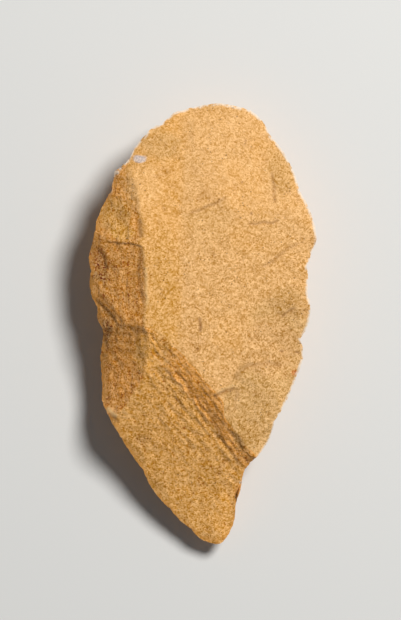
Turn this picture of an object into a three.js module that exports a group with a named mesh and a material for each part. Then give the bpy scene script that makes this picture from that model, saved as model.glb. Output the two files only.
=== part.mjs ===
// A stone hand axe: one lump of quartzite, struck to shape with a hammer stone.
// Millimetres, +Z up. It lies on the flat spot of its plainer side, with the worked side up and
// the tip towards -Y. The origin is under the middle of its box, on the surface it lies on.
//
// Every face is the floor of a flake scar. A floor rises from the edge where the blow fell, so
// the worked side is the lowest of all the floors at each place, and where two of them meet
// there is an arris. The plainer side is made in the same way, seen from below.

import * as THREE from "three";

const { clamp, degToRad, smoothstep } = THREE.MathUtils;

// Driving sizes
const length = 200;
const breadth = 103;
const thickness = 44;
const cellsAcross = 40; // mesh cells over the breadth on the worked side
const cellsAlong = 80; // and over the length

// The block on which the tables below are drawn; the finished stone is scaled to the sizes above
const block = { length: 199.7, breadth: 103.1, thickness: 44 };

// The edge in plan, clockwise from the butt: the corners between flake scars, each with the
// bulge of the arc that runs on to the next corner (outwards is positive)
const edgeCorners = [
  [8, 99.7, 0.1], [20, 97.2, 1.8], [30.3, 85.5, 2.1], [44, 60, 1.5],
  [51.8, 38, 0], [47.3, 26, 0.3], [47.5, 14, 2.8], [44.2, -7, 1.4],
  [44.5, -19, 0.9], [32.5, -44.5, 1.9], [22.6, -62, -0.8], [18.2, -69.5, 0.5],
  [15, -82, 2.2], [8.5, -100, 2.3], [-5, -93, 0.8], [-14.5, -84, 1.5],
  [-26.7, -66.5, 0.3], [-37.5, -50.5, 0.3], [-45.5, -35, -0.4], [-46.3, -15, -0.3],
  [-45, -2, 1.2], [-47.3, 7.5, 2.1], [-50, 23.5, 0.3], [-51.3, 30, -0.3],
  [-47.8, 46, 0.5], [-41, 60, 0], [-39.5, 68.8, -0.3], [-33, 74, 0.9],
  [-25, 85.5, 1], [-18.5, 89.8, 0.1], [-13, 95.2, 0.6],
];

// Broad faces of the worked side: a point on each, how steeply it falls, and which way
const faces = [
  { name: "level band by the ridge", at: [-18, 20, 43.5], falls: 4, towards: -10 },
  { name: "main face", at: [-9.5, 20, 42.9], falls: 15.5, towards: -4 },
  { name: "upper face", at: [3, 54, 38.9], falls: 12, towards: 72 },
  { name: "butt", at: [8, 82, 32.6], falls: 25, towards: 85 },
  { name: "upper right shoulder", at: [18, 62, 33.4], falls: 23, towards: 42 },
  { name: "upper left flank", at: [-25, 78, 35.6], falls: 21, towards: 126 },
];

// Flake scars of the worked side: the point struck, the heading of the flake, how steeply the
// floor rises along it, and the radius of the hollow across it. A late scar may also be held in
// by a wall on one side: from where, which way it climbs, and how steeply
const scars = [
  { name: "upper left", strike: [-47, 52, 30.9], heading: -16, rise: 29.5, across: 250 },
  { name: "middle left", strike: [-44, 24, 32.8], heading: 6, rise: 31, across: 220,
    wall: { from: [-40, 36.2], towards: 83, rises: 55 } },
  { name: "waist left", strike: [-46, -5, 28.5], heading: 6, rise: 40.5, across: 160 },
  { name: "lower left", strike: [-45, -25, 22.7], heading: 4, rise: 36.5, across: 44 },
  { name: "lower right", strike: [40, -36, 25.5], heading: 142, rise: 17, across: 400,
    wall: { from: [14, -31], towards: 165, rises: 35 } },
  { name: "right notch", strike: [44, -2, 25.6], heading: 128, rise: 17, across: 45 },
];

// The large scar that runs to the tip and ends in a step: the foot of its wall, what the wall
// adds to the floor's slope at each end, and the floor, which rises towards the butt. The floor
// levels out at both ends, hollow by the tip and swelling by the butt
const stepScar = {
  foot: [[-40, 6], [-33, 2], [-29, -6], [-24, -14], [-17, -21.5], [-10, -29.5],
    [-3, -38], [4, -47], [9, -53], [14, -60], [19, -66]],
  wallStart: 0.1,
  wallEnd: 0.4,
  wallChange: 80,
  floorAt: { y: -34, z: 32.6 },
  risesUp: 0.38,
  tipHollow: { from: -55, radius: 250 },
  topSwell: { from: -34, radius: 260 },
};

// Low ledges: the lip in plan with the drop on its right-hand side, and how far it reaches
const ledges = [
  { lip: [[-46.5, 36], [-43.8, 29], [-43, 21]], drop: 0.9, width: 1, reach: 9 },
  { lip: [[-49, 13.5], [-45, 9], [-40, 4], [-36, -2]], drop: 1.1, width: 1.2, reach: 8 },
  { lip: [[5, -33], [8.5, -30], [12, -28]], drop: 0.9, width: 1.2, reach: 7 },
  { lip: [[-12, 48.5], [-4, 50], [5, 54.8], [11, 58]], drop: 0.6, width: 1.6, reach: 10 },
];
const ledgeTaper = 6; // over which a ledge fades at each end of its lip

// Small scars that the last blows left along the edge, one to each arc between two corners: how
// far each cuts into the face, how much steeper it is (rise over run), and how far it reaches
const edgeScar = {
  dropPerChord: 0.04,
  leastDrop: 0.3,
  steeperBy: 0.22,
  reachPerChord: 0.7,
  probe: 4, // over which the slope of the face is taken
};

// Flake scars of the plainer side: the edge arc that each starts from, how steeply its floor
// comes down to the flat spot, and the radius of its hollow across
const underScars = [
  { arc: 0, falls: 27, across: 90 }, { arc: 2, falls: 36, across: 40 },
  { arc: 3, falls: 42, across: 55 }, { arc: 6, falls: 41, across: 48 },
  { arc: 8, falls: 44, across: 60 }, { arc: 9, falls: 38, across: 32 },
  { arc: 12, falls: 30, across: 40 }, { arc: 15, falls: 30, across: 45 },
  { arc: 17, falls: 37, across: 70 }, { arc: 19, falls: 40, across: 50 },
  { arc: 22, falls: 43, across: 60 }, { arc: 25, falls: 45, across: 42 },
  { arc: 27, falls: 37, across: 50 },
];
const underRim = 0.22; // share of the way to the middle over which the underside meets the edge

const faceRounding = 1.6; // how softly the broad faces meet
const arrisRounding = 0.7; // how softly the scars meet them
const edgeRounding = 0.3;

// Lower of two heights, with the corner between them rounded
function lower(a, b, rounding) {
  const share = clamp(0.5 + (0.5 * (b - a)) / rounding, 0, 1);
  return b + (a - b) * share - rounding * share * (1 - share);
}

function heightOnFace(face, x, y) {
  const way = degToRad(face.towards);
  const out = (x - face.at[0]) * Math.cos(way) + (y - face.at[1]) * Math.sin(way);
  return face.at[2] - Math.tan(degToRad(face.falls)) * out;
}

function heightOnWall(wall, x, y) {
  const way = degToRad(wall.towards);
  const past = (x - wall.from[0]) * Math.cos(way) + (y - wall.from[1]) * Math.sin(way);
  return Math.tan(degToRad(wall.rises)) * Math.max(0, past);
}

// A scar's floor: it rises away from the struck point and is hollow across its heading
function heightInScar(scar, x, y) {
  const way = degToRad(scar.heading);
  const dx = x - scar.strike[0];
  const dy = y - scar.strike[1];
  const on = dx * Math.cos(way) + dy * Math.sin(way);
  const side = dy * Math.cos(way) - dx * Math.sin(way);
  const floor = scar.strike[2] + Math.tan(degToRad(scar.rise)) * on + side ** 2 / (2 * scar.across);
  return floor + (scar.wall ? heightOnWall(scar.wall, x, y) : 0);
}

// How far a place lies past a line, positive on its right-hand side, and how far along it
function placeByLine(line, x, y) {
  let nearest = Infinity;
  let past = 0;
  let along = 0;
  let before = 0;
  for (let i = 0; i < line.length - 1; i++) {
    const [ax, ay] = line[i];
    const dx = line[i + 1][0] - ax;
    const dy = line[i + 1][1] - ay;
    const span = Math.hypot(dx, dy);
    const t = ((x - ax) * dx + (y - ay) * dy) / span ** 2;
    const first = i === 0 ? -Infinity : 0;
    const last = i === line.length - 2 ? Infinity : 1;
    const held = clamp(t, first, last);
    const offX = x - ax - held * dx;
    const offY = y - ay - held * dy;
    const gap = Math.hypot(offX, offY);
    if (gap < nearest) {
      nearest = gap;
      past = offX * dy - offY * dx > 0 ? gap : -gap;
      along = before + clamp(t, 0, 1) * span;
    }
    before += span;
  }
  return { past, along, total: before };
}

function heightInStepScar(x, y) {
  const { past, along } = placeByLine(stepScar.foot, x, y);
  const { floorAt, risesUp, tipHollow, topSwell } = stepScar;
  let floor = floorAt.z + risesUp * (y - floorAt.y);
  floor += Math.max(0, tipHollow.from - y) ** 2 / (2 * tipHollow.radius);
  floor -= Math.max(0, y - topSwell.from) ** 2 / (2 * topSwell.radius);
  const change = smoothstep(along, 0, stepScar.wallChange);
  const wall = stepScar.wallStart + (stepScar.wallEnd - stepScar.wallStart) * change;
  return floor + Math.max(0, -past) * wall;
}

function ledgeDepth(ledge, x, y) {
  const { past, along, total } = placeByLine(ledge.lip, x, y);
  const ends = smoothstep(along, 0, ledgeTaper) * smoothstep(total - along, 0, ledgeTaper);
  const fade = Math.exp(-Math.max(past, 0) / ledge.reach);
  return ledge.drop * smoothstep(past, 0, ledge.width) * fade * ends;
}

// The worked side before its edge was trimmed
function bodyHeight(x, y) {
  let z = Infinity;
  for (const face of faces) {
    const height = heightOnFace(face, x, y);
    z = z === Infinity ? height : lower(z, height, faceRounding);
  }
  for (const scar of scars) {
    z = lower(z, heightInScar(scar, x, y), arrisRounding);
  }
  for (const ledge of ledges) {
    z -= ledgeDepth(ledge, x, y);
  }
  return lower(z, heightInStepScar(x, y), arrisRounding);
}

// The middle of each edge arc, with the way out of the stone there
function edgeArcs() {
  return edgeCorners.map(([x, y, bulge], i) => {
    const [nextX, nextY] = edgeCorners[(i + 1) % edgeCorners.length];
    const chord = Math.hypot(nextX - x, nextY - y);
    const out = [(y - nextY) / chord, (nextX - x) / chord];
    const mid = [(x + nextX) / 2 + out[0] * bulge, (y + nextY) / 2 + out[1] * bulge];
    return { from: [x, y], to: [nextX, nextY], bulge, chord, out, mid };
  });
}
const arcs = edgeArcs();

const edgeScars = arcs.map(({ chord, out, mid }) => {
  const { probe } = edgeScar;
  const heightOff = (inwards, sideways) => bodyHeight(
    mid[0] - out[0] * inwards + out[1] * sideways,
    mid[1] - out[1] * inwards - out[0] * sideways,
  );
  const drop = edgeScar.dropPerChord * chord + edgeScar.leastDrop;
  return {
    at: [mid[0], mid[1], heightOff(0, 0) - drop],
    out,
    climbsIn: (heightOff(probe, 0) - heightOff(0, 0)) / probe + edgeScar.steeperBy,
    climbsAlong: (heightOff(probe, probe) - heightOff(probe, -probe)) / (2 * probe),
    across: (chord / 2) ** 2 / (2 * drop),
    drop,
    reach: edgeScar.reachPerChord * chord,
  };
});

function heightInEdgeScar(scar, x, y) {
  const dx = x - scar.at[0];
  const dy = y - scar.at[1];
  const inwards = -dx * scar.out[0] - dy * scar.out[1];
  const sideways = dx * scar.out[1] - dy * scar.out[0];
  const floor = scar.at[2] + scar.climbsIn * inwards + scar.climbsAlong * sideways;
  const fade = scar.drop * (Math.hypot(dx, dy) / scar.reach) ** 4;
  return floor + sideways ** 2 / (2 * scar.across) + fade;
}

function topHeight(x, y) {
  return edgeScars.reduce(
    (z, scar) => lower(z, heightInEdgeScar(scar, x, y), edgeRounding),
    bodyHeight(x, y),
  );
}

// The plainer side: the same scars turned over, cut off by the flat spot that it lies on
const turnedScars = underScars.map(({ arc, falls, across }) => {
  const { mid, out } = arcs[arc];
  const heading = THREE.MathUtils.radToDeg(Math.atan2(-out[1], -out[0]));
  return { strike: [mid[0], mid[1], -topHeight(mid[0], mid[1])], heading, rise: falls, across };
});

function underHeight(x, y) {
  const highest = turnedScars.map((scar) => -heightInScar(scar, x, y));
  return Math.max(0, ...highest);
}

// The edge as a closed run of points, and its reach from the middle in a given direction
const stepsPerArc = 24;
const edgePoints = arcs.flatMap(({ from, to, bulge, out }) =>
  Array.from({ length: stepsPerArc }, (_, i) => {
    const t = i / stepsPerArc;
    const rise = 4 * bulge * t * (1 - t);
    const x = from[0] + (to[0] - from[0]) * t + out[0] * rise;
    const y = from[1] + (to[1] - from[1]) * t + out[1] * rise;
    return { x, y, angle: Math.atan2(y, x), reach: Math.hypot(x, y), corner: i === 0 };
  }),
).sort((a, b) => a.angle - b.angle);

function reachAt(angle) {
  let next = edgePoints.findIndex((point) => point.angle > angle);
  if (next < 0) next = 0;
  const b = edgePoints[next];
  const a = edgePoints[(next + edgePoints.length - 1) % edgePoints.length];
  const turn = 2 * Math.PI;
  const span = (b.angle - a.angle + turn) % turn;
  const share = ((angle - a.angle + turn) % turn) / span;
  return a.reach + (b.reach - a.reach) * share;
}

// A rectangular net of places, bent to fill the edge: its border lies on the edge itself
function planNet() {
  const net = [];
  for (let j = 0; j <= cellsAlong; j++) {
    for (let i = 0; i <= cellsAcross; i++) {
      const u = (2 * i) / cellsAcross - 1;
      const v = (2 * j) / cellsAlong - 1;
      const wide = Math.abs(u) > Math.abs(v);
      const radius = wide ? u : v;
      const quarter = Math.PI / 4;
      const other = wide ? v : u;
      const bend = radius === 0 ? 0 : (quarter * other) / radius;
      const turn = wide ? bend : 2 * quarter - bend;
      const ovalX = (Math.cos(turn) * block.breadth) / 2;
      const ovalY = (Math.sin(turn) * block.length) / 2;
      const angle = Math.atan2(ovalY * Math.sign(radius), ovalX * Math.sign(radius));
      const share = Math.abs(radius);
      const oval = Math.hypot(ovalX, ovalY);
      const stretch = 1 + (reachAt(angle) / oval - 1) * share;
      const x = ovalX * radius * stretch;
      const y = ovalY * radius * stretch;
      net.push({ x, y, angle, share, border: share === 1 });
    }
  }
  snapToCorners(net.filter((place) => place.border));
  return net;
}

// The border place nearest to each corner of the edge moves onto it, which keeps the corner sharp
function snapToCorners(border) {
  for (const corner of edgePoints.filter((point) => point.corner)) {
    const gap = (place) => Math.hypot(place.x - corner.x, place.y - corner.y);
    const nearest = border.reduce((best, place) => (gap(place) < gap(best) ? place : best));
    nearest.x = corner.x;
    nearest.y = corner.y;
    nearest.angle = corner.angle;
  }
}

// Height of the plainer side, brought up to the worked side's height along the edge
function underAt({ x, y, angle, share }) {
  const rimX = reachAt(angle) * Math.cos(angle);
  const rimY = reachAt(angle) * Math.sin(angle);
  const gap = topHeight(rimX, rimY) - underHeight(rimX, rimY);
  const near = smoothstep(share, 1 - underRim, 1);
  return Math.max(0, underHeight(x, y) + gap * near ** 2);
}

// Splits a four-sided cell along the diagonal that lies closer to the true surface
function splitCell(ring, points, heightAt) {
  const [a, b, c, d] = ring.map((k) => points[k]);
  const x = (a.x + b.x + c.x + d.x) / 4;
  const y = (a.y + b.y + c.y + d.y) / 4;
  const wanted = heightAt(x, y);
  const misses = (p, q) => Math.abs((p.z + q.z) / 2 - wanted);
  const turned = misses(b, d) < misses(a, c);
  const [p, q, r, s] = turned ? [ring[1], ring[2], ring[3], ring[0]] : ring;
  return [[p, q, r], [p, r, s]];
}

// Splits a border cell with more than four corners into a fan from its first border place
function fanCell(ring) {
  const hub = ring[1];
  const rest = [...ring.slice(2), ring[0]];
  return rest.slice(1).map((next, i) => [hub, rest[i], next]);
}

function stoneMesh() {
  const net = planNet();
  const numberOf = (i, j) => j * (cellsAcross + 1) + i;
  const points = net.map((place) => ({ x: place.x, y: place.y, z: topHeight(place.x, place.y) }));
  const triangles = [];

  for (let j = 0; j < cellsAlong; j++) {
    for (let i = 0; i < cellsAcross; i++) {
      const ring = [numberOf(i, j), numberOf(i + 1, j), numberOf(i + 1, j + 1), numberOf(i, j + 1)];
      triangles.push(...splitCell(ring, points, topHeight));
    }
  }

  // the plainer side takes every second line of the net, and every place on the border
  const underNumber = new Map();
  function underNumberOf(i, j) {
    const k = numberOf(i, j);
    if (net[k].border) return k;
    if (!underNumber.has(k)) {
      underNumber.set(k, points.length);
      points.push({ x: net[k].x, y: net[k].y, z: underAt(net[k]) });
    }
    return underNumber.get(k);
  }
  for (let j = 0; j < cellsAlong; j += 2) {
    for (let i = 0; i < cellsAcross; i += 2) {
      const ring = [];
      if (j === 0) ring.push([i, j], [i + 1, j]);
      else ring.push([i, j]);
      if (i + 2 === cellsAcross) ring.push([i + 2, j], [i + 2, j + 1]);
      else ring.push([i + 2, j]);
      if (j + 2 === cellsAlong) ring.push([i + 2, j + 2], [i + 1, j + 2]);
      else ring.push([i + 2, j + 2]);
      if (i === 0) ring.push([i, j + 2], [i, j + 1]);
      else ring.push([i, j + 2]);
      const numbers = ring.map(([p, q]) => underNumberOf(p, q));
      const firstBetween = ring.findIndex(([p, q]) => p % 2 === 1 || q % 2 === 1);
      const pieces = firstBetween < 0
        ? splitCell(numbers, points, underHeight)
        : fanCell([...numbers.slice(firstBetween - 1), ...numbers.slice(0, firstBetween - 1)]);
      triangles.push(...pieces.map(([a, b, c]) => [a, c, b]));
    }
  }
  return { points, triangles };
}

// Scales the stone to the driving sizes and sets it down over the origin
function placedPositions(points) {
  const box = new THREE.Box3().setFromPoints(points.map((p) => new THREE.Vector3(p.x, p.y, p.z)));
  const size = box.getSize(new THREE.Vector3());
  const middle = box.getCenter(new THREE.Vector3());
  const scale = [breadth / size.x, length / size.y, thickness / size.z];
  return points.flatMap((p) => [
    (p.x - middle.x) * scale[0],
    (p.y - middle.y) * scale[1],
    (p.z - box.min.z) * scale[2],
  ]);
}

function handAxe() {
  const { points, triangles } = stoneMesh();
  const geometry = new THREE.BufferGeometry();
  geometry.setAttribute("position", new THREE.Float32BufferAttribute(placedPositions(points), 3));
  geometry.setIndex(triangles.flat());
  geometry.computeVertexNormals();
  const quartzite = new THREE.MeshStandardMaterial({ color: 0xcf9b5b, roughness: 0.9, metalness: 0 });
  const mesh = new THREE.Mesh(geometry, quartzite);
  mesh.name = "hand_axe";
  return mesh;
}

const part = new THREE.Group();
part.add(handAxe());

export default part;
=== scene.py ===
# A hand axe of coarse tan quartzite, lying on a pale floor with its worked side up.
# The form is knapped as in the CAD part: the worked side is the lowest of all its scar floors.
# Lengths in the tables are millimetres, Blender's own are metres.

import math

import bpy
import numpy as np
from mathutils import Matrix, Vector


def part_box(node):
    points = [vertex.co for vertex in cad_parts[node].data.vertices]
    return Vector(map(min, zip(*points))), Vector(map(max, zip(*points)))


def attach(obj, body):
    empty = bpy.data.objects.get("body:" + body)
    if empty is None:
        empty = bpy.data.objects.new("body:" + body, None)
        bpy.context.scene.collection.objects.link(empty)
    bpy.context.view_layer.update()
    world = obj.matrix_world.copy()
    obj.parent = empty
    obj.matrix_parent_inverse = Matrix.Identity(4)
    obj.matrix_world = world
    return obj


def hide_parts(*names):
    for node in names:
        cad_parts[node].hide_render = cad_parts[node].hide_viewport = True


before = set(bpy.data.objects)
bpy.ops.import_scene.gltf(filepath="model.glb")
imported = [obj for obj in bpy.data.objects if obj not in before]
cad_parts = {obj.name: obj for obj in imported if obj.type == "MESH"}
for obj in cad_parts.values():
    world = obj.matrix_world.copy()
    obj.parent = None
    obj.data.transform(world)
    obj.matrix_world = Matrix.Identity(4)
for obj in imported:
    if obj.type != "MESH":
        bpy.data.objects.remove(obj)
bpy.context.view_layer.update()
stoneLow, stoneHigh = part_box("hand_axe")
mm = 0.001

# ---- the stone's form ----

stone = {
    "cellsAcross": 200,  # mesh cells over the breadth, worked side
    "cellsAlong": 360,
    "blockBreadth": 103.1,  # of the block that the tables are drawn on
    "blockLength": 199.7,
    "faceRounding": 1.6,  # how softly the broad faces meet
    "arrisRounding": 0.5,
    "edgeRounding": 0.25,
    "wander": 0.7,  # how far the arrises stray from a straight line
    "wanderSize": 7.0,
    "finerWander": 2.7,  # how many times finer its second layer is
    "swell": 0.22,  # slow unevenness of all faces
    "swellSize": 11.0,
    "finerSwellSize": 5.0,
    "calmEdge": 0.04,  # share of the way in over which wander and swell set in
    "edgeWobble": 0.32,
    "edgeWobbleSize": 3.4,
    "finerWobble": 2.6,
    "wobbleBand": 0.1,  # share of the way in that the edge's bites reach
    "crackWander": 0.6,
    "stepsPerArc": 24,
    "roughFrom": (0.02, 1.5),  # heights above the floor over which the grain sets in
    "seed": 7,
}

# the edge in plan, clockwise from the butt: corners between scars, and the bulge of the next arc
edgeCorners = [
    (8, 99.7, 0.1), (20, 97.2, 1.8), (30.3, 85.5, 2.1), (44, 60, 1.5),
    (51.8, 38, 0), (47.3, 26, 0.3), (47.5, 14, 2.8), (44.2, -7, 1.4),
    (44.5, -19, 0.9), (32.5, -44.5, 1.9), (22.6, -62, -0.8), (18.2, -69.5, 0.5),
    (15, -82, 2.2), (8.5, -100, 2.3), (-5, -93, 0.8), (-14.5, -84, 1.5),
    (-26.7, -66.5, 0.3), (-37.5, -50.5, 0.3), (-45.5, -35, -0.4), (-46.3, -15, -0.3),
    (-45, -2, 1.2), (-47.3, 7.5, 2.1), (-50, 23.5, 0.3), (-51.3, 30, -0.3),
    (-47.8, 46, 0.5), (-41, 60, 0), (-39.5, 68.8, -0.3), (-33, 74, 0.9),
    (-25, 85.5, 1), (-18.5, 89.8, 0.1), (-13, 95.2, 0.6),
]

# broad faces: a point on each, how steeply it falls, and which way
faces = {
    "levelBand": {"at": (-18, 20, 43.5), "falls": 4, "towards": -10},
    "mainFace": {"at": (-9.5, 20, 42.9), "falls": 15.5, "towards": -4},
    "upperFace": {"at": (3, 54, 38.9), "falls": 12, "towards": 72},
    "butt": {"at": (8, 82, 32.6), "falls": 25, "towards": 85},
    "upperRightShoulder": {"at": (18, 62, 33.4), "falls": 23, "towards": 42},
    "upperLeftFlank": {"at": (-25, 78, 35.6), "falls": 21, "towards": 126},
}

# flake scars: the point struck, the heading, how steeply the floor rises, the hollow across it
leftScars = {
    "upperLeft": {"strike": (-47, 52, 30.9), "heading": -16, "rise": 29.5, "across": 250},
    "middleLeft": {"strike": (-44, 24, 32.8), "heading": 6, "rise": 31, "across": 220,
                   "wall": {"start": (-40, 36.2), "towards": 83, "rises": 55}},
    "waistLeft": {"strike": (-46, -5, 28.5), "heading": 6, "rise": 40.5, "across": 160},
    "lowerLeft": {"strike": (-45, -25, 22.7), "heading": 4, "rise": 36.5, "across": 44},
}

rightScars = {
    "lowerRight": {"strike": (40, -36, 25.5), "heading": 142, "rise": 17, "across": 400,
                   "wall": {"start": (14, -31), "towards": 165, "rises": 35}},
    "rightNotch": {"strike": (44, -2, 25.6), "heading": 128, "rise": 17, "across": 45},
}

# the large scar that ends in a step: its wall's foot, its floor, and the ripples beside the wall
stepScar = {
    "foot": [(-40, 6), (-33, 2), (-29, -6), (-24, -14), (-17, -21.5), (-10, -29.5),
             (-3, -38), (4, -47), (9, -53), (14, -60), (19, -66)],
    "wallStart": 0.1,  # rise over run that the wall adds to the floor's own
    "wallEnd": 0.4,
    "wallChange": 80,
    "floorAt": (-34, 32.6),  # y and z
    "risesUp": 0.38,
    "tipHollow": (-55, 250),  # from where it curves up, and the radius
    "topSwell": (-34, 260),  # from where it levels off, and the radius
    "rippleGap": 2.6,
    "rippleLength": 22.0,
    "rippleHeight": 0.4,
    "rippleReach": 9.0,  # how far from the wall they die out
    "hackleReach": 26.0,
}

# low ledges: the lip with the drop on its right-hand side, how far it reaches, and how much
# darker the low side is painted: partly greyer stone, partly painted shade
ledges = [
    {"lip": [(-46.5, 36), (-43.8, 29), (-43, 21)], "drop": 0.9, "width": 1, "reach": 9,
     "grey": 0.3},
    {"lip": [(-49, 13.5), (-45, 9), (-40, 4), (-36, -2)], "drop": 1.1, "width": 1.2, "reach": 8,
     "grey": 0.3},
    {"lip": [(5, -33), (8.5, -30), (12, -28)], "drop": 0.9, "width": 1.2, "reach": 7,
     "grey": 0.5},
    {"lip": [(-12, 48.5), (-4, 50), (5, 54.8), (11, 58)], "drop": 0.6, "width": 1.6, "reach": 10,
     "grey": 0.6},
]
ledgeTaper = 6

# cracks, creases and crests too fine for the broad form: half the width, how deep the line lies,
# and how far the stone in it is darkened or paled: dark cracks with painted shade in the creases and
# under the lips, pale patina with painted highlights on the crests and lips
cracks = [
    {"line": [(-1.3, 3.2), (-0.8, -0.5), (-1.1, -4.6)], "width": 0.6, "depth": 0.35, "dark": 0.75},
    {"line": [(-2.8, -11), (-1.4, -11.4)], "width": 0.6, "depth": 0.3, "dark": 0.7},
    {"line": [(18.8, 82.7), (20.2, 82.2)], "width": 0.6, "depth": 0.3, "dark": 0.6},
    {"line": [(17.3, 63.9), (18.7, 63.3)], "width": 0.6, "depth": 0.3, "dark": 0.6},
    {"line": [(21.5, 49.8), (22.9, 49.2)], "width": 0.6, "depth": 0.3, "dark": 0.8},
    {"line": [(34.6, -12.3), (37.5, -12.7)], "width": 0.5, "depth": 0.35, "dark": 0.7},
    {"line": [(41.4, -12.7), (44.6, -13.2)], "width": 0.5, "depth": 0.35, "dark": 0.7},
    {"line": [(20, 45.4), (24, 44.7), (28, 45.5), (31, 45), (35, 46.8)], "width": 0.6,
     "depth": 0.3, "dark": 0.5},
    {"line": [(27, 25), (33, 29), (38, 33.5), (44, 36.5)], "width": 0.9, "depth": 0.25,
     "dark": 0.3},
    {"line": [(35.5, 2.5), (38.5, 5), (42.5, 7.2)], "width": 0.7, "depth": 0.3, "dark": 0.45},
    {"line": [(31, 69), (32.2, 62), (33, 54)], "width": 0.8, "depth": 0.3, "dark": 0.4},
    {"line": [(-28.8, 47.5), (-28, 43), (-27.6, 38)], "width": 1.3, "depth": 0.3, "dark": 0.55},
    {"line": [(-27.8, 34), (-28.4, 25), (-27.9, 16), (-26.8, 9)], "width": 0.8, "depth": 0.2,
     "dark": 0.45},
    {"line": [(-45.7, 36), (-44, 30.5), (-43.4, 24)], "width": 0.6, "depth": 0.15, "dark": 0.6},
    {"line": [(-46.5, 13.5), (-42, 8), (-38, 3.5), (-36, 0)], "width": 0.7, "depth": 0.15,
     "dark": 0.6},
    {"line": [(-25.2, 26), (-25, 17), (-24.6, 8)], "width": 0.7, "depth": -0.1, "pale": 0.45},
    {"line": [(-43.4, -37), (-41, -39.8), (-38.4, -42.4)], "width": 0.9, "depth": -0.2,
     "pale": 0.8},
    {"line": [(-42.2, -40), (-40.2, -42.4), (-37.4, -45)], "width": 0.8, "depth": 0.25,
     "dark": 0.6},
    {"line": [(4.6, -33.6), (8.6, -30.8), (14.8, -29)], "width": 0.8, "depth": 0.35, "dark": 0.6},
    {"line": [(5, -32.2), (9, -29.4), (14.6, -27.6)], "width": 0.5, "depth": -0.15, "pale": 0.5},
    {"line": [(14.9, -28.6), (15.8, -32), (14.6, -36)], "width": 0.8, "depth": 0.2,
     "dark": 0.35},
    {"line": [(15, -26), (16.8, -21.5), (21, -19.2), (29, -18.2), (36.5, -19.2)], "width": 1.1,
     "depth": 0.25, "dark": 0.3},
    {"line": [(-6, 49.6), (-1, 51), (5, 53.8), (11, 56.6)], "width": 0.7, "depth": 0.25,
     "dark": 0.35},
]
crackTaper = 1.2

# scars along the edge, one to each arc, and the small chips between them
edgeScar = {"dropPerChord": 0.04, "leastDrop": 0.3, "steeperBy": 0.22, "reachPerChord": 0.7,
            "probe": 4}
chip = {"count": 95, "smallest": 2.5, "largest": 8.0, "dropPerChord": 0.05, "steeperBy": 0.4,
        "reachPerChord": 0.6, "probe": 1.5}

# scars of the plainer side: the edge arc, how steeply the floor comes down, its hollow across
underScars = [
    (0, 27, 90), (2, 36, 40), (3, 42, 55), (6, 41, 48), (8, 44, 60), (9, 38, 32), (12, 30, 40),
    (15, 30, 45), (17, 37, 70), (19, 40, 50), (22, 43, 60), (25, 45, 42), (27, 37, 50),
]
under = {
    "rim": 0.22,  # share of the way to the middle over which this side meets the edge
    "wanderSize": 7.0,
    "swell": 0.286,
    "swellSize": 9.0,
    "flatRim": 3.0,  # height over which the unevenness sets in above the flat spot
    "chipSlope": 0.8,
}


def smoothstep(value, start, end):
    t = np.clip((value - start) / (end - start), 0, 1)
    return t * t * (3 - 2 * t)


# Lower of two heights, with the corner between them rounded
def lower(a, b, rounding):
    share = np.clip(0.5 + 0.5 * (b - a) / rounding, 0, 1)
    return b + (a - b) * share - rounding * share * (1 - share)


# Smooth noise of about -1 to 1, with bumps of the given size
def noise(x, y, size, seed):
    turns = np.random.default_rng(seed).uniform(0, 2 * math.pi, (256, 256))
    gx, gy = np.cos(turns), np.sin(turns)
    u, v = x / size + 90, y / size + 90
    i, j = np.floor(u).astype(int), np.floor(v).astype(int)
    fu, fv = u - i, v - j
    su, sv = fu**3 * (fu * (fu * 6 - 15) + 10), fv**3 * (fv * (fv * 6 - 15) + 10)

    def corner(di, dj):
        p, q = (i + di) % 256, (j + dj) % 256
        return gx[p, q] * (fu - di) + gy[p, q] * (fv - dj)

    low = corner(0, 0) * (1 - su) + corner(1, 0) * su
    high = corner(0, 1) * (1 - su) + corner(1, 1) * su
    return 1.5 * (low * (1 - sv) + high * sv)


def heightOnPlane(at, falls, towards, x, y):
    way = math.radians(towards)
    out = (x - at[0]) * math.cos(way) + (y - at[1]) * math.sin(way)
    return at[2] - math.tan(math.radians(falls)) * out


def heightInScar(scar, x, y):
    way = math.radians(scar["heading"])
    dx, dy = x - scar["strike"][0], y - scar["strike"][1]
    on = dx * math.cos(way) + dy * math.sin(way)
    side = dy * math.cos(way) - dx * math.sin(way)
    z = scar["strike"][2] + math.tan(math.radians(scar["rise"])) * on
    z = z + side**2 / (2 * scar["across"])
    if "wall" in scar:
        wall = scar["wall"]
        turn = math.radians(wall["towards"])
        past = (x - wall["start"][0]) * math.cos(turn) + (y - wall["start"][1]) * math.sin(turn)
        z = z + math.tan(math.radians(wall["rises"])) * np.maximum(0, past)
    return z


# How far each place lies past a line, positive on its right-hand side, and how far along it
def placeByLine(line, x, y):
    nearest = np.full(x.shape, np.inf)
    past, along = np.zeros(x.shape), np.zeros(x.shape)
    before = 0.0
    for n, ((ax, ay), (bx, by)) in enumerate(zip(line, line[1:])):
        dx, dy = bx - ax, by - ay
        span = math.hypot(dx, dy)
        t = ((x - ax) * dx + (y - ay) * dy) / span**2
        held = np.clip(t, -np.inf if n == 0 else 0, np.inf if n == len(line) - 2 else 1)
        offX, offY = x - ax - held * dx, y - ay - held * dy
        gap = np.hypot(offX, offY)
        closer = gap < nearest
        past = np.where(closer, np.where(offX * dy - offY * dx > 0, gap, -gap), past)
        along = np.where(closer, before + np.clip(t, 0, 1) * span, along)
        nearest = np.minimum(gap, nearest)
        before += span
    return past, along, before


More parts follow.
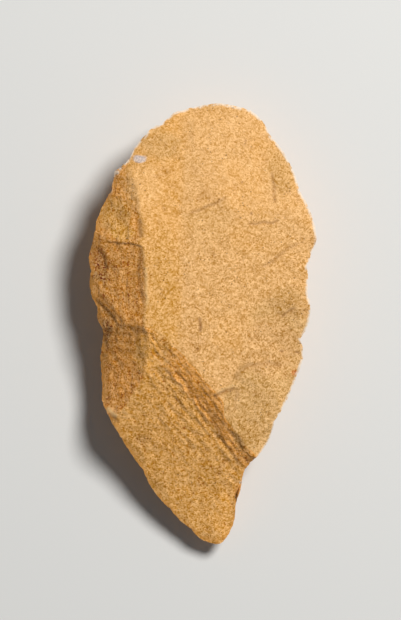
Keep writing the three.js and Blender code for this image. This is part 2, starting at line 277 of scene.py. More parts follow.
def heightInStepScar(x, y):
    past, along, _ = placeByLine(stepScar["foot"], x, y)
    cy, cz = stepScar["floorAt"]
    z = cz + stepScar["risesUp"] * (y - cy)
    z = z + np.maximum(0, stepScar["tipHollow"][0] - y) ** 2 / (2 * stepScar["tipHollow"][1])
    z = z - np.maximum(0, y - stepScar["topSwell"][0]) ** 2 / (2 * stepScar["topSwell"][1])
    change = smoothstep(along, 0, stepScar["wallChange"])
    wall = stepScar["wallStart"] + (stepScar["wallEnd"] - stepScar["wallStart"]) * change
    return z + np.maximum(0, -past) * wall, past, along


def ledgeDepth(ledge, x, y):
    past, along, total = placeByLine(ledge["lip"], x, y)
    ends = smoothstep(along, 0, ledgeTaper) * smoothstep(total - along, 0, ledgeTaper)
    fade = np.exp(-np.maximum(past, 0) / ledge["reach"])
    return ledge["drop"] * smoothstep(past, 0, ledge["width"]) * fade * ends


# How deep the cracks lie at each place, and how far they darken and pale the stone: dark cracks and
# painted shade, pale patina and painted highlights
def crackMarks(x, y):
    depth, dark, pale = np.zeros(x.shape), np.zeros(x.shape), np.zeros(x.shape)
    for crack in cracks:
        past, along, total = placeByLine(crack["line"], x, y)
        taper = min(crackTaper, total / 3)
        ends = smoothstep(along, 0, taper) * smoothstep(total - along, 0, taper)
        share = np.exp(-(past / crack["width"]) ** 2) * ends
        depth = depth + crack["depth"] * share
        dark = np.maximum(dark, crack.get("dark", 0) * share)
        pale = np.maximum(pale, crack.get("pale", 0) * share)
    return depth, dark, pale


# The worked side before its edge was trimmed, with the share that each kind of scar has in it
def bodyForm(x, y):
    z = None
    for face in faces.values():
        height = heightOnPlane(face["at"], face["falls"], face["towards"], x, y)
        z = height if z is None else lower(z, height, stone["faceRounding"])
    broad = z
    for scar in leftScars.values():
        z = lower(z, heightInScar(scar, x, y), stone["arrisRounding"])
    inLeft = smoothstep(broad - z, 0.1, 1.2)
    band, main = (heightOnPlane(faces[name]["at"], faces[name]["falls"], faces[name]["towards"],
                                x, y) for name in ("levelBand", "mainFace"))
    inBand = smoothstep(main - band, -0.4, 0.8)
    before = z
    for scar in rightScars.values():
        z = lower(z, heightInScar(scar, x, y), stone["arrisRounding"])
    # the low sides of the right-hand scars and the ledges: partly greyer stone, partly painted shade
    lowSideShade = smoothstep(before - z, 0.1, 1.2)
    for ledge in ledges:
        depth = ledgeDepth(ledge, x, y)
        lowSideShade = np.maximum(lowSideShade, ledge["grey"] * depth / ledge["drop"])
        z = z - depth
    step, past, along = heightInStepScar(x, y)
    inStep = smoothstep(z - step, -0.3, 0.6)
    z = lower(z, step, stone["arrisRounding"])
    return {"z": z, "inLeft": inLeft * (1 - inStep), "inStep": inStep, "past": past,
            "along": along, "inBand": inBand * (1 - inLeft) * (1 - inStep),
            "lowSideShade": lowSideShade * (1 - inStep)}


def bodyHeight(x, y):
    return bodyForm(np.asarray(x, float), np.asarray(y, float))["z"]


# ---- the edge ----

def edgeArcs():
    arcs = []
    for n, (x, y, bulge) in enumerate(edgeCorners):
        nextX, nextY, _ = edgeCorners[(n + 1) % len(edgeCorners)]
        chord = math.hypot(nextX - x, nextY - y)
        out = ((y - nextY) / chord, (nextX - x) / chord)
        mid = ((x + nextX) / 2 + out[0] * bulge, (y + nextY) / 2 + out[1] * bulge)
        arcs.append({"start": (x, y), "end": (nextX, nextY), "bulge": bulge, "chord": chord,
                     "out": out, "mid": mid})
    return arcs


arcs = edgeArcs()


def pointOnArc(arc, t):
    rise = 4 * arc["bulge"] * t * (1 - t)
    return (arc["start"][0] + (arc["end"][0] - arc["start"][0]) * t + arc["out"][0] * rise,
            arc["start"][1] + (arc["end"][1] - arc["start"][1]) * t + arc["out"][1] * rise)


# A scar that cuts the edge at a place: it follows the slope of the surface there and is steeper
def cutAtEdge(surface, mid, out, chord, drop, sizes):
    probe = sizes["probe"]

    def heightOff(inwards, sideways):
        return float(surface(mid[0] - out[0] * inwards + out[1] * sideways,
                             mid[1] - out[1] * inwards - out[0] * sideways))

    start = heightOff(0, 0)
    return {
        "at": (mid[0], mid[1], start - drop),
        "out": out,
        "climbsIn": (heightOff(probe, 0) - start) / probe + sizes["steeperBy"],
        "climbsAlong": (heightOff(probe, probe) - heightOff(probe, -probe)) / (2 * probe),
        "across": (chord / 2) ** 2 / (2 * drop),
        "drop": drop,
        "reach": sizes["reachPerChord"] * chord,
    }


def heightInCut(cut, x, y):
    dx, dy = x - cut["at"][0], y - cut["at"][1]
    inwards = -dx * cut["out"][0] - dy * cut["out"][1]
    sideways = dx * cut["out"][1] - dy * cut["out"][0]
    z = cut["at"][2] + cut["climbsIn"] * inwards + cut["climbsAlong"] * sideways
    fade = cut["drop"] * (np.hypot(dx, dy) / cut["reach"]) ** 4
    return z + sideways**2 / (2 * cut["across"]) + fade


edgeCuts = [
    cutAtEdge(bodyHeight, arc["mid"], arc["out"], arc["chord"],
              edgeScar["dropPerChord"] * arc["chord"] + edgeScar["leastDrop"], edgeScar)
    for arc in arcs
]


# Small chips at random places along the edge of a surface
def edgeChips(surface, seed):
    random = np.random.default_rng(seed)
    chords = np.array([arc["chord"] for arc in arcs])
    chips = []
    for _ in range(chip["count"]):
        arc = arcs[random.choice(len(arcs), p=chords / chords.sum())]
        size = chip["smallest"] + (chip["largest"] - chip["smallest"]) * random.random() ** 2
        mid = pointOnArc(arc, random.random())
        chips.append(cutAtEdge(surface, mid, arc["out"], size, chip["dropPerChord"] * size, chip))
    return chips


# The cuts lower a height field only close to where they were struck
def withCuts(z, cuts, x, y, rounding):
    for cut in cuts:
        near = np.hypot(x - cut["at"][0], y - cut["at"][1]) < 3 * cut["reach"]
        cutHeight = heightInCut(cut, x[near], y[near])
        z[near] = lower(z[near], cutHeight, rounding)
    return z


def plainTop(x, y):
    x, y = np.atleast_1d(np.asarray(x, float)), np.atleast_1d(np.asarray(y, float))
    return withCuts(bodyHeight(x, y), edgeCuts, x, y, stone["edgeRounding"])


turnedScars = []
for arcNumber, falls, across in underScars:
    arc = arcs[arcNumber]
    top = float(plainTop(*arc["mid"])[0])
    heading = math.degrees(math.atan2(-arc["out"][1], -arc["out"][0]))
    turnedScars.append({"strike": (arc["mid"][0], arc["mid"][1], -top), "heading": heading,
                        "rise": falls, "across": across})


def underHeight(x, y):
    z = np.zeros(np.shape(x))
    for scar in turnedScars:
        z = np.maximum(z, -heightInScar(scar, x, y))
    return z


def edgeReach():
    angles, reaches = [], []
    for arc in arcs:
        for n in range(stone["stepsPerArc"]):
            x, y = pointOnArc(arc, n / stone["stepsPerArc"])
            angles.append(math.atan2(y, x))
            reaches.append(math.hypot(x, y))
    order = np.argsort(angles)
    return np.array(angles)[order], np.array(reaches)[order]


edgeAngles, edgeReaches = edgeReach()


def reachAt(angle):
    return np.interp(angle, edgeAngles, edgeReaches, period=2 * math.pi)


# ---- the mesh ----

# A rectangular net of places, bent to fill the edge: its border lies on the edge itself
def planNet():
    across, along = stone["cellsAcross"], stone["cellsAlong"]
    v, u = np.meshgrid(np.linspace(-1, 1, along + 1), np.linspace(-1, 1, across + 1),
                       indexing="ij")
    u, v = u.ravel(), v.ravel()
    wide = np.abs(u) > np.abs(v)
    radius = np.where(wide, u, v)
    other = np.where(wide, v, u)
    safe = np.where(radius == 0, 1, radius)
    bend = np.where(radius == 0, 0, math.pi / 4 * other / safe)
    turn = np.where(wide, bend, math.pi / 2 - bend)
    ovalX = np.cos(turn) * stone["blockBreadth"] / 2
    ovalY = np.sin(turn) * stone["blockLength"] / 2
    angle = np.arctan2(ovalY * np.sign(safe), ovalX * np.sign(safe))
    share = np.abs(radius)
    stretch = 1 + (reachAt(angle) / np.hypot(ovalX, ovalY) - 1) * share
    return ovalX * radius * stretch, ovalY * radius * stretch, angle, share


def roughTop(x, y, share):
    size, seed = stone["wanderSize"], stone["seed"]
    finer = size / stone["finerWander"]
    wanderX = stone["wander"] * (noise(x, y, size, seed) + 0.5 * noise(x, y, finer, seed + 1))
    wanderY = stone["wander"] * (noise(x, y, size, seed + 2) + 0.5 * noise(x, y, finer, seed + 3))
    inside = smoothstep(1 - share, 0, stone["calmEdge"])  # the edge keeps its own heights
    form = bodyForm(x + wanderX * inside, y + wanderY * inside)
    z = form["z"]
    swell = noise(x, y, stone["swellSize"], seed + 4)
    swell = swell + 0.5 * noise(x, y, stone["finerSwellSize"], seed + 5)
    z = z + stone["swell"] * swell * inside
    # broken ripples beside the step's wall
    across, along = stepScar["rippleGap"], stepScar["rippleLength"]
    ripple = noise(form["past"] / across, form["along"] / along, 1, seed + 6)
    ripple = ripple + 0.5 * noise(form["past"] / across * 2, form["along"] / along * 2, 1, seed + 7)
    near = np.exp(-(form["past"] / stepScar["rippleReach"]) ** 2)
    z = z + stepScar["rippleHeight"] * ripple * near * form["inStep"]
    cuts = edgeCuts + edgeChips(bodyHeight, seed + 8)
    z = withCuts(z, cuts, x, y, stone["edgeRounding"])
    depth, form["dark"], form["pale"] = crackMarks(x + stone["crackWander"] * wanderX,
                                                   y + stone["crackWander"] * wanderY)
    return z - depth * inside, form


def stoneMesh():
    seed = stone["seed"]
    x, y, angle, share = planNet()
    # small bites with points between them
    wobble = 0.5 - 1.6 * np.abs(noise(x, y, stone["edgeWobbleSize"], seed + 9))
    finer = stone["edgeWobbleSize"] / stone["finerWobble"]
    wobble = wobble + 0.6 * noise(x, y, finer, seed + 10)
    wobble = stone["edgeWobble"] * wobble * smoothstep(share, 1 - stone["wobbleBand"], 1)
    x = x + np.cos(angle) * wobble
    y = y + np.sin(angle) * wobble
    top, form = roughTop(x, y, share)

    rimX, rimY = reachAt(angle) * np.cos(angle), reachAt(angle) * np.sin(angle)
    border = share > 1 - 1e-9
    order = np.argsort(angle[border])
    rimTop = np.interp(angle, angle[border][order], top[border][order], period=2 * math.pi)
    gap = rimTop - underHeight(rimX, rimY)
    size = under["wanderSize"]
    lowZ = underHeight(x + stone["wander"] * noise(x, y, size, seed + 11),
                       y + stone["wander"] * noise(x, y, size, seed + 12))
    lowZ = lowZ + gap * smoothstep(share, 1 - under["rim"], 1) ** 2
    lifted = smoothstep(lowZ, 0, under["flatRim"])
    lowZ = lowZ + under["swell"] * noise(x, y, under["swellSize"], seed + 13) * lifted
    lowZ = np.maximum(0, lowZ)

    # the plainer side close to the edge, turned over as the chips need it
    def turnedEdge(px, py):
        turn = math.atan2(py, px)
        edgeZ = np.interp(turn, angle[border][order], top[border][order], period=2 * math.pi)
        return under["chipSlope"] * (reachAt(turn) - math.hypot(px, py)) - edgeZ

    lowZ = -withCuts(-lowZ, edgeChips(turnedEdge, seed + 14), x, y, stone["edgeRounding"])

    across, along = stone["cellsAcross"], stone["cellsAlong"]
    number = np.arange((across + 1) * (along + 1)).reshape(along + 1, across + 1)
    quads = np.stack([number[:-1, :-1], number[:-1, 1:], number[1:, 1:], number[1:, :-1]], -1)
    cells = [tuple(cell) for cell in quads.reshape(-1, 4).tolist()]

    # the plainer side takes every second line of the net, and every place on the border
    isBorder = np.zeros(number.shape, bool)
    isBorder[0, :] = isBorder[-1, :] = isBorder[:, 0] = isBorder[:, -1] = True
    coarse = np.zeros(number.shape, bool)
    coarse[::2, ::2] = True
    inner = coarse & ~isBorder
    underNumber = number.copy()
    underNumber[inner] = number.size + np.arange(inner.sum())
    for j in range(0, along, 2):
        for i in range(0, across, 2):
            ring = [(j, i)]
            ring += [(j, i + 1)] if j == 0 else []
            ring += [(j, i + 2)]
            ring += [(j + 1, i + 2)] if i + 2 == across else []
            ring += [(j + 2, i + 2)]
            ring += [(j + 2, i + 1)] if j + 2 == along else []
            ring += [(j + 2, i)]
            ring += [(j + 1, i)] if i == 0 else []
            cells.append(tuple(int(underNumber[place]) for place in reversed(ring)))

    picked = inner.ravel()
    plan = np.concatenate([np.stack([x, y], -1), np.stack([x, y], -1)[picked]])
    heights = np.concatenate([top, lowZ[picked]])
    shares = np.concatenate([share, share[picked]])
    near = np.exp(-(form["past"] / stepScar["hackleReach"]) ** 2)
    onTopOnly = {
        "stepScar": form["inStep"],
        "leftScars": form["inLeft"],
        "hackles": form["inStep"] * near,
        "levelBand": form["inBand"],
        "lowSideShade": form["lowSideShade"],
        "wallMm": form["inStep"] * np.maximum(0, -form["past"]),
        "onTop": np.ones(x.size),
        "crackAndShadeMarks": form["dark"],
        "patinaAndHighlightMarks": form["pale"],
    }
    zeros = np.zeros(picked.sum())
    masks = {name: np.concatenate([values, zeros]) for name, values in onTopOnly.items()}
    masks["edgeMm"] = (1 - shares) * reachAt(np.concatenate([angle, angle[picked]]))
    masks["roughness"] = smoothstep(heights, *stone["roughFrom"])
    return plan, heights, cells, masks, isBorder.ravel()


# The block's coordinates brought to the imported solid's box
def placed(plan, heights):
    x, y, _, _ = planNet()
    z = plainTop(x, y)
    low, high = np.array([x.min(), y.min(), 0]), np.array([x.max(), y.max(), z.max()])
    scale = (np.array(stoneHigh) - np.array(stoneLow)) / (high - low)
    points = np.column_stack([plan, heights])
    return (points - low) * scale + np.array(stoneLow)


def makeStone():
    plan, heights, cells, masks, isBorder = stoneMesh()
    mesh = bpy.data.meshes.new("handAxeStone")
    mesh.from_pydata(placed(plan, heights).tolist(), [], cells)
    mesh.polygons.foreach_set("use_smooth", np.ones(len(mesh.polygons), bool))
    for name, values in masks.items():
        layer = mesh.attributes.new(name, "FLOAT", "POINT")
        layer.data.foreach_set("value", values.astype(np.float32))
    onBorder = np.zeros(len(mesh.vertices), bool)
    onBorder[:isBorder.size] = isBorder
    ends = np.zeros(len(mesh.edges) * 2, np.int32)
    mesh.edges.foreach_get("vertices", ends)
    ends = ends.reshape(-1, 2)
    sharp = mesh.attributes.new("sharp_edge", "BOOLEAN", "EDGE")
    sharp.data.foreach_set("value", onBorder[ends[:, 0]] & onBorder[ends[:, 1]])
    mesh.update()
    piece = bpy.data.objects.new("handAxeStone", mesh)
    bpy.context.scene.collection.objects.link(piece)
    return piece


# ---- node helpers ----

def linear(hexColour):
    values = [int(hexColour[n:n + 2], 16) / 255 for n in (1, 3, 5)]
    return tuple(c / 12.92 if c <= 0.04045 else ((c + 0.055) / 1.055) ** 2.4
                 for c in values) + (1.0,)


# Adds a node: settings are its properties, inputs are values or the sockets that feed it
def addNode(tree, kind, inputs=None, **settings):
    node = tree.nodes.new(kind)
    for name, value in settings.items():
        setattr(node, name, value)
    for key, value in (inputs or {}).items():
        socket = node.inputs[key]
        if isinstance(value, bpy.types.NodeSocket):
            tree.links.new(value, socket)
        else:
            socket.default_value = value
    return node


# ---- the grain, pits and hackles that follow the surface ----

relief = {
    "Grain size": 1.7,
    "Grain depth": 0.11,
    "Pit size": 3.2,
    "Pit depth": 0.16,
    "Pit share": 0.08,  # the larger, the fewer pits
    "Pit steepness": 6.0,
    "Hackle length": 4.8,
    "Hackle width": 2.1,
    "Hackle depth": 0.62,
    "Hackle heading": math.radians(-52),
    "Streak length": 9.0,
    "Streak width": 1.9,
    "Streak depth": 0.2,
    "Seed": 3.0,
}


def reliefTree():
    tree = bpy.data.node_groups.new("quartziteRelief", "GeometryNodeTree")
    tree.interface.new_socket("Geometry", in_out="INPUT", socket_type="NodeSocketGeometry")
    for name in relief:
        tree.interface.new_socket(name, in_out="INPUT", socket_type="NodeSocketFloat")
    tree.interface.new_socket("Material", in_out="INPUT", socket_type="NodeSocketMaterial")
    tree.interface.new_socket("Geometry", in_out="OUTPUT", socket_type="NodeSocketGeometry")
    given = addNode(tree, "NodeGroupInput").outputs

    def maths(operation, a, b=0.0):
        return addNode(tree, "ShaderNodeMath", {0: a, 1: b}, operation=operation).outputs[0]

    def mask(name):
        return addNode(tree, "GeometryNodeInputNamedAttribute", {"Name": name},
                       data_type="FLOAT").outputs["Attribute"]

    position = addNode(tree, "GeometryNodeInputPosition").outputs[0]
    inMm = addNode(tree, "ShaderNodeVectorMath", {0: position, "Scale": 1 / mm},
                   operation="SCALE").outputs[0]

    def bumps(vector, detail, shift):
        texture = addNode(tree, "ShaderNodeTexNoise",
                          {"Vector": vector, "W": maths("ADD", given["Seed"], shift), "Scale": 1.0,
                           "Detail": detail, "Roughness": 0.6}, noise_dimensions="4D")
        return maths("SUBTRACT", texture.outputs[0], 0.5)

    def sized(vector, length, width):
        stretch = addNode(tree, "ShaderNodeCombineXYZ", {0: length, 1: width, 2: width}).outputs[0]
        return addNode(tree, "ShaderNodeVectorMath", {0: vector, 1: stretch},
                       operation="DIVIDE").outputs[0]

    grain = bumps(sized(inMm, given["Grain size"], given["Grain size"]), 2.0, 0.0)
    grain = maths("MULTIPLY", grain, maths("MULTIPLY", given["Grain depth"], 2.0))

    # pits are only the lowest part of a broader noise
    hollow = bumps(sized(inMm, given["Pit size"], given["Pit size"]), 1.0, 5.0)
    hollow = maths("MINIMUM", maths("ADD", hollow, given["Pit share"]), 0.0)
    hollow = maths("MULTIPLY", hollow, maths("MULTIPLY", given["Pit depth"], given["Pit steepness"]))

    # hackles run beside the step and fade with distance from it
    turned = addNode(tree, "ShaderNodeVectorRotate",
                     {"Vector": inMm, "Angle": maths("MULTIPLY", given["Hackle heading"], -1.0)},
                     rotation_type="Z_AXIS").outputs[0]
    hackle = bumps(sized(turned, given["Hackle length"], given["Hackle width"]), 1.5, 9.0)
    hackle = maths("MULTIPLY", hackle, maths("MULTIPLY", given["Hackle depth"], 2.0))
    hackle = maths("MULTIPLY", hackle, mask("hackles"))

    # streaks of the left-hand scars run with the edge
    upright = sized(inMm, given["Streak width"], given["Streak length"])
    streak = bumps(upright, 1.5, 13.0)
    streak = maths("MULTIPLY", streak, maths("MULTIPLY", given["Streak depth"], 2.0))
    streak = maths("MULTIPLY", streak, mask("leftScars"))

    height = maths("ADD", maths("ADD", grain, hollow), maths("ADD", hackle, streak))
    height = maths("MULTIPLY", height, mask("roughness"))
    normal = addNode(tree, "GeometryNodeInputNormal").outputs[0]
    offset = addNode(tree, "ShaderNodeVectorMath",
                     {0: normal, "Scale": maths("MULTIPLY", height, mm)},
                     operation="SCALE").outputs[0]
    kept = addNode(tree, "GeometryNodeStoreNamedAttribute",
                   {"Geometry": given["Geometry"], "Name": "relief", "Value": height},
                   data_type="FLOAT", domain="POINT").outputs[0]
    moved = addNode(tree, "GeometryNodeSetPosition", {"Geometry": kept, "Offset": offset}).outputs[0]
    real = addNode(tree, "GeometryNodeRealizeInstances", {0: moved}).outputs[0]
    finished = addNode(tree, "GeometryNodeSetMaterial",
                       {"Geometry": real, "Material": given["Material"]}).outputs[0]
    addNode(tree, "NodeGroupOutput", {0: finished})
    return tree


# Runs the tree on the piece and keeps the result as its plain mesh
def applyRelief(piece, material):
    tree = reliefTree()
    modifier = piece.modifiers.new("relief", "NODES")
    modifier.node_group = tree
    for item in tree.interface.items_tree:
        if item.in_out == "INPUT" and item.name in relief:
            modifier[item.identifier] = relief[item.name]
        elif item.in_out == "INPUT" and item.name == "Material":
            modifier[item.identifier] = material
    bpy.context.view_layer.update()
    evaluated = piece.evaluated_get(bpy.context.evaluated_depsgraph_get())
    mesh = bpy.data.meshes.new_from_object(evaluated)
    piece.modifiers.remove(modifier)
    old = piece.data
    piece.data = mesh
    bpy.data.meshes.remove(old)
    return piece


# ---- the stone's material ----

# Quartzite, fractured by percussion and weathered: fused quartz grains in an iron-stained tan
# ground, so the eye gets a matte, sugary surface with dark specks and a few glassy grains
quartziteLook = {
    "tan": "#D6A364",
    "goldenTan": "#D8A059",
    # ochre and orange ochre: deeper patina together with the warmer colour of shade, painted in
    "ochrePatinaAndShade": "#D99F54",
    "orangePatinaAndShade": "#E19D4E",
    # painted shade, with some greyer stone, for the low sides
    "greyAndShadeTan": "#D0A163",
    # painted light: a brighter ochre for the step's wall
    "wallLitOchre": "#F2AA55",
    "brown": "#A8743A",
    "goldChip": "#DE9A48",
    # dark streaks, and painted shade in creases and under lips
    "darkStreakAndShade": "#875829",
    "speck": "#4C3118",
    "deepest": "#261D13",
    # pale patina, and painted highlights on crests and lips
    "patinaAndHighlightPale": "#F3C98C",
    # the worn rim, paler, with a painted highlight on the side towards the lamp
    "quartz": "#E9DDCB",
    "grainTint": "#FFDDAE",  # what a lighter grain adds to the ground
    "grainMm": 0.6,
    "grainContrast": 0.37,
    "coarseGrainMm": 1.25,
    "coarseContrast": 0.15,
    "fineGrainMm": 0.5,
    "scarContrast": {"stepScar": 0.22, "leftScars": 0.35},  # added to the grains' contrast
    "buttCalm": 0.22,  # taken from it on the butt
    "buttFrom": (35.0, 58.0),
    "speckMm": 1.35,
    "speckBendMm": 0.9,  # how far the specks stray from round
    "speckCloudMm": 9.0,
    "streakMm": 1.1,
    "streakLengthMm": 7.0,
    "wallStreakMm": 2.3,
    "grainBumpMm": 0.25,
    "grainBumpStrength": 0.55,
    "cloudMm": 22.0,
    "stainMm": 7.0,
}

# patches of another tone, with the middle, half the size, colour and share: a few are the stone's
# own spots of pale patina and a red dot, the rest are painted light and shade that the facets' tilts
# don't give
toneAndShadePatches = [
    {"at": (-27, 62), "size": (10, 11), "colour": "#E4AE6B", "share": 0.9},
    {"at": (-18, 81), "size": (10, 8), "colour": "#C99858", "share": 0.9},
    {"at": (36, 70), "size": (8, 13), "colour": "#C39354", "share": 0.9},
    {"at": (-17, 12), "size": (8, 33), "colour": "#D59E55", "share": 0.8},
    {"at": (-39, -19), "size": (9, 15), "colour": "#EBA350", "share": 0.8},
    {"at": (-25, -13), "size": (7, 10), "colour": "#F2B15C", "share": 0.9},
    {"at": (31, -10), "size": (15, 16), "colour": "#CC9B5F", "share": 0.9},
    {"at": (38, 10), "size": (9, 9), "colour": "#C8985A", "share": 0.9},
    {"at": (20, -49), "size": (8, 9), "colour": "#C49454", "share": 0.9},
    {"at": (5, 46), "size": (9, 9), "colour": "#CF9D5D", "share": 0.8},
    {"at": (-46, 22), "size": (4, 8), "colour": "#B47D3B", "share": 0.9},
    {"at": (-48, 30), "size": (4, 5), "colour": "#BE7F3C", "share": 0.9},
    {"at": (-48, 16.5), "size": (3.4, 4.5), "colour": "#FCB15A", "share": 0.9},
    {"at": (-44, -3), "size": (3, 6), "colour": "#A6743A", "share": 0.9},
    {"at": (9, -86), "size": (5, 11), "colour": "#E8AA5B", "share": 0.9},
    {"at": (-40, 49), "size": (9, 9), "colour": "#D59E53", "share": 0.8},
    {"at": (-36, 41), "size": (6, 4), "colour": "#EEB15C", "share": 0.8},
    {"at": (41.5, -22), "size": (1.6, 1.6), "colour": "#C87A36", "share": 0.8},
    {"at": (-28.5, 74.5), "size": (3.2, 2), "colour": "#CDBBB0", "share": 0.95},
    {"at": (-39, 68.5), "size": (1.5, 1.2), "colour": "#EFE3D0", "share": 0.7},
    {"at": (17.8, -72), "size": (1.3, 1.3), "colour": "#EFE3D0", "share": 0.7},
]


def quartzite():
    look = quartziteLook
    material = bpy.data.materials.new("weatheredQuartzite")
    material.use_nodes = True
    tree = material.node_tree
    tree.nodes.clear()
    coordinates = addNode(tree, "ShaderNodeTexCoord").outputs["Object"]
    inMm = addNode(tree, "ShaderNodeMapping",
                   {"Vector": coordinates, "Scale": (1 / mm, 1 / mm, 1 / mm)}).outputs[0]

    def maths(operation, a, b=0.0):
        return addNode(tree, "ShaderNodeMath", {0: a, 1: b}, operation=operation).outputs[0]

    def mixed(factor, a, b):
        return addNode(tree, "ShaderNodeMix", {"Factor": factor, 6: a, 7: b},
                       data_type="RGBA").outputs[2]

    # smooth noise of 0 to 1; each shift gives another pattern
    def cloud(size, detail=2.0, shift=0.0, vector=inMm):
        return addNode(tree, "ShaderNodeTexNoise",
                       {"Vector": vector, "W": shift, "Scale": 1 / size, "Detail": detail,
                        "Roughness": 0.55}, noise_dimensions="4D").outputs[0]

    def ranged(value, start, end, to=1.0):
        return addNode(tree, "ShaderNodeMapRange",
                       {"Value": value, "From Min": start, "From Max": end, "To Max": to},
                       interpolation_type="SMOOTHSTEP").outputs[0]

    def mask(name):
        return addNode(tree, "ShaderNodeAttribute", attribute_name=name).outputs["Fac"]

    # one random tone for each quartz grain, from -0.5 to 0.5
    def grains(size):
        cells = addNode(tree, "ShaderNodeTexVoronoi", {"Vector": inMm, "Scale": 1 / size},
                        feature="F1").outputs["Color"]
        tone = addNode(tree, "ShaderNodeSeparateColor", {0: cells}).outputs[0]
        return maths("SUBTRACT", tone, 0.5)

    ragged = maths("MULTIPLY", maths("SUBTRACT", cloud(3.0), 0.5), 0.9)

    # a soft round patch, given by its middle and size in millimetres
    def patch(at, size):
        place = addNode(tree, "ShaderNodeMapping",
                        {"Vector": inMm, "Location": (-at[0] / size[0], -at[1] / size[1], 0),
                         "Scale": (1 / size[0], 1 / size[1], 0)}).outputs[0]
        away = addNode(tree, "ShaderNodeVectorMath", {0: place}, operation="LENGTH").outputs["Value"]
        return ranged(maths("ADD", away, ragged), 1.15, 0.55)

    # ground colours by region
    plainSide = ranged(mask("onTop"), 1.0, 0.0)
    golden = ranged(cloud(look["cloudMm"], 2.0, 1.0), 0.45, 0.65, 0.4)
    golden = maths("MAXIMUM", golden, mask("levelBand"))
    colour = mixed(golden, linear(look["tan"]), linear(look["goldenTan"]))
    # painted shade on the low sides of the right-hand scars and ledges, partly greyer stone
    colour = mixed(mask("lowSideShade"), colour, linear(look["greyAndShadeTan"]))
    # the left-hand scars and the step scar: deeper ochre patina together with painted shade colour,
    # for slopes that face away from the lamp
    colour = mixed(mask("leftScars"), colour, linear(look["orangePatinaAndShade"]))
    colour = mixed(mask("stepScar"), colour, linear(look["ochrePatinaAndShade"]))
    # painted light: the step's wall, facing away from the lamp, is painted a brighter ochre
    wall = mask("wallMm")
    colour = mixed(ranged(wall, 0.2, 1.6), colour, linear(look["wallLitOchre"]))
    colour = mixed(maths("MULTIPLY", plainSide, 0.5), colour, linear(look["orangePatinaAndShade"]))
    # painted light and shade on most patches, the stone's own spots on a few
    for place in toneAndShadePatches:
        share = maths("MULTIPLY", patch(place["at"], place["size"]),
                      maths("MULTIPLY", mask("onTop"), place["share"]))
        colour = mixed(share, colour, linear(place["colour"]))
    stain = ranged(cloud(look["stainMm"], 3.0, 2.0), 0.56, 0.74, 0.35)
    colour = mixed(stain, colour, linear(look["brown"]))

    # dark streaks along the step's wall, and down the left-hand scars
    turns = maths("ADD", maths("MULTIPLY", wall, 2 * math.pi / look["wallStreakMm"]),
                  maths("MULTIPLY", cloud(5.0, 2.0, 6.0), 9.0))
    band = maths("MULTIPLY", ranged(maths("SINE", turns), 0.0, 1.0, 0.34), ranged(wall, 0.1, 0.8))
    colour = mixed(band, colour, linear(look["darkStreakAndShade"]))
    upright = addNode(tree, "ShaderNodeMapping",
                      {"Vector": inMm, "Scale": (1 / look["streakMm"], 1 / look["streakLengthMm"],
                                                 1 / look["streakLengthMm"])}).outputs[0]
    streak = maths("MULTIPLY", ranged(cloud(1.0, 2.0, 7.0, upright), 0.52, 0.7, 0.45),
                   mask("leftScars"))
    colour = mixed(streak, colour, linear(look["darkStreakAndShade"]))

    # the hollows of the relief are darkened towards brown
    height = mask("relief")
    colour = mixed(ranged(height, 0.0, -0.3, 0.4), colour, linear(look["brown"]))

    # grains lighter or darker than the ground
    tone = grains(look["grainMm"])
    fine = cloud(look["fineGrainMm"], 1.0, 3.0)
    contrast = maths("ADD", maths("MULTIPLY", tone, look["grainContrast"]),
                     maths("MULTIPLY", grains(look["coarseGrainMm"]), look["coarseContrast"]))
    upTheStone = addNode(tree, "ShaderNodeSeparateXYZ", {0: inMm}).outputs[1]
    strength = maths("SUBTRACT", 1.0, ranged(upTheStone, *look["buttFrom"], look["buttCalm"]))
    for scar, added in look["scarContrast"].items():
        strength = maths("ADD", strength, maths("MULTIPLY", mask(scar), added))
    contrast = maths("MULTIPLY", contrast, strength)
    tint = addNode(tree, "ShaderNodeVectorMath",
                   {0: linear(look["grainTint"])[:3], "Scale": contrast}, operation="SCALE")
    lit = addNode(tree, "ShaderNodeVectorMath", {0: colour, 1: tint.outputs[0]}, operation="ADD")
    colour = addNode(tree, "ShaderNodeVectorMath",
                     {0: lit.outputs[0], 1: linear(look["deepest"])[:3]},
                     operation="MAXIMUM").outputs[0]

    # dark mineral specks, crowded in clouds
    swirl = addNode(tree, "ShaderNodeTexNoise", {"Vector": inMm, "Scale": 1.3, "Detail": 1.0})
    bent = addNode(tree, "ShaderNodeVectorMath",
                   {0: swirl.outputs["Color"], 1: [look["speckBendMm"]] * 3, 2: inMm},
                   operation="MULTIPLY_ADD").outputs[0]
    dots = addNode(tree, "ShaderNodeTexVoronoi", {"Vector": bent, "Scale": 1 / look["speckMm"]},
                   feature="F1")
    chosen = ranged(addNode(tree, "ShaderNodeSeparateColor",
                            {0: dots.outputs["Color"]}).outputs[1], 0.5, 0.8)
    small = ranged(dots.outputs["Distance"], 0.3, 0.12)
    crowded = ranged(cloud(look["speckCloudMm"], 2.0, 4.0), 0.4, 0.62, 0.75)
    speck = maths("MULTIPLY", maths("MULTIPLY", chosen, small), crowded)
    colour = mixed(speck, colour, linear(look["speck"]))

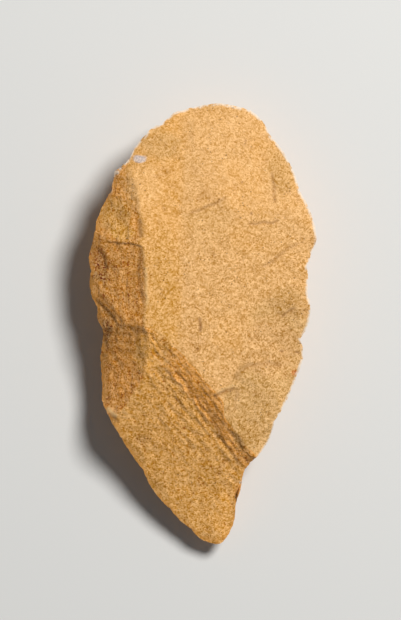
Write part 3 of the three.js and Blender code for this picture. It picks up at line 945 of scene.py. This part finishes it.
    # a thin pale rim on the butt and the right, the side towards the lamp: partly a worn edge,
    # partly a painted highlight; and golden chips along the lower left
    edgeMm = mask("edgeMm")
    side = addNode(tree, "ShaderNodeVectorMath", {0: inMm, 1: (1.5, 0.8, 0)},
                   operation="DOT_PRODUCT").outputs["Value"]
    litSide = ranged(side, -25.0, 0.0)
    worn = ranged(cloud(2.6, 2.0, 8.0), 0.38, 0.56)
    rim = maths("MULTIPLY", ranged(edgeMm, 1.5, 0.3, 0.75), maths("MULTIPLY", litSide, worn))
    colour = mixed(rim, colour, linear(look["quartz"]))
    goldSide = maths("SUBTRACT", 1.0, litSide)
    gold = maths("MULTIPLY", ranged(edgeMm, 3.4, 0.8, 0.7), maths("MULTIPLY", goldSide, worn))
    colour = mixed(gold, colour, linear(look["goldChip"]))

    # dark cracks, and painted shade in the creases and under the lips
    colour = mixed(mask("crackAndShadeMarks"), colour, linear(look["darkStreakAndShade"]))
    # pale patina, and painted highlights on the crests and lips
    colour = mixed(mask("patinaAndHighlightMarks"), colour, linear(look["patinaAndHighlightPale"]))

    roughness = maths("ADD", maths("MULTIPLY", tone, -0.25), 0.8)
    grainBump = maths("ADD", maths("MULTIPLY", fine, 0.6), maths("MULTIPLY", tone, 0.4))
    normal = addNode(tree, "ShaderNodeBump",
                     {"Height": grainBump, "Distance": look["grainBumpMm"] * mm,
                      "Strength": look["grainBumpStrength"]}).outputs[0]
    shader = addNode(tree, "ShaderNodeBsdfPrincipled",
                     {"Base Color": colour, "Roughness": roughness, "IOR": 1.5,
                      "Specular IOR Level": 0.35, "Normal": normal}).outputs[0]
    addNode(tree, "ShaderNodeOutputMaterial", {"Surface": shader})
    return material


# ---- floor, light and camera ----

stage = {
    "floorSize": 6.0,
    "floorColour": "#DAD9D5",
    "lightDistance": 2.4,
    "lightTowards": 45,  # degrees from +X, seen from above
    "lightHeight": 55,  # degrees above the floor
    "lightSize": 0.8,
    "lightPower": 65.0,
    "skyColour": "#D6DAE0",
    "skyStrength": 0.16,
    "cameraDistance": 2.6,
    "viewHeight": 280.55 * mm,  # of what the picture takes in, at the edge's height
    "edgeHeight": 26 * mm,
    "aside": -1.05 * mm,  # the camera stands off the stone's middle by this
    "ahead": 6.35 * mm,
    "sensor": 24.0,
}


def makeFloor():
    half = stage["floorSize"] / 2
    mesh = bpy.data.meshes.new("paleFloor")
    mesh.from_pydata([(-half, -half, 0), (half, -half, 0), (half, half, 0), (-half, half, 0)], [],
                     [(0, 1, 2, 3)])
    floor = bpy.data.objects.new("paleFloor", mesh)
    bpy.context.scene.collection.objects.link(floor)
    material = bpy.data.materials.new("matteFloorPaint")
    material.use_nodes = True
    shader = material.node_tree.nodes["Principled BSDF"]
    shader.inputs["Base Color"].default_value = linear(stage["floorColour"])
    shader.inputs["Roughness"].default_value = 0.9
    mesh.materials.append(material)
    return floor


def makeLight():
    data = bpy.data.lights.new("softKey", "AREA")
    data.shape = "DISK"
    data.size = stage["lightSize"]
    data.energy = stage["lightPower"]
    light = bpy.data.objects.new("softKey", data)
    around, up = math.radians(stage["lightTowards"]), math.radians(stage["lightHeight"])
    way = Vector((math.cos(around) * math.cos(up), math.sin(around) * math.cos(up), math.sin(up)))
    light.location = way * stage["lightDistance"]
    light.rotation_euler = way.to_track_quat("Z", "Y").to_euler()
    bpy.context.scene.collection.objects.link(light)
    world = bpy.data.worlds.new("paleSky")
    world.use_nodes = True
    sky = world.node_tree.nodes["Background"]
    sky.inputs["Color"].default_value = linear(stage["skyColour"])
    sky.inputs["Strength"].default_value = stage["skyStrength"]
    bpy.context.scene.world = world


def makeCamera():
    data = bpy.data.cameras.new("lookingDown")
    data.sensor_fit = "VERTICAL"
    data.sensor_height = stage["sensor"]
    data.lens = stage["sensor"] * stage["cameraDistance"] / stage["viewHeight"]
    camera = bpy.data.objects.new("lookingDown", data)
    middle = (stoneLow + stoneHigh) / 2
    camera.location = (middle.x + stage["aside"], middle.y + stage["ahead"],
                       stage["edgeHeight"] + stage["cameraDistance"])
    bpy.context.scene.collection.objects.link(camera)
    bpy.context.scene.camera = camera


makeCamera()
floor = makeFloor()
makeLight()
bpy.context.scene.view_settings.view_transform = "Standard"
print("stage ready")

piece = makeStone()
print("stone knapped:", len(piece.data.vertices), "points")
applyRelief(piece, quartzite())
print("relief made")

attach(piece, "root")
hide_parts("hand_axe")
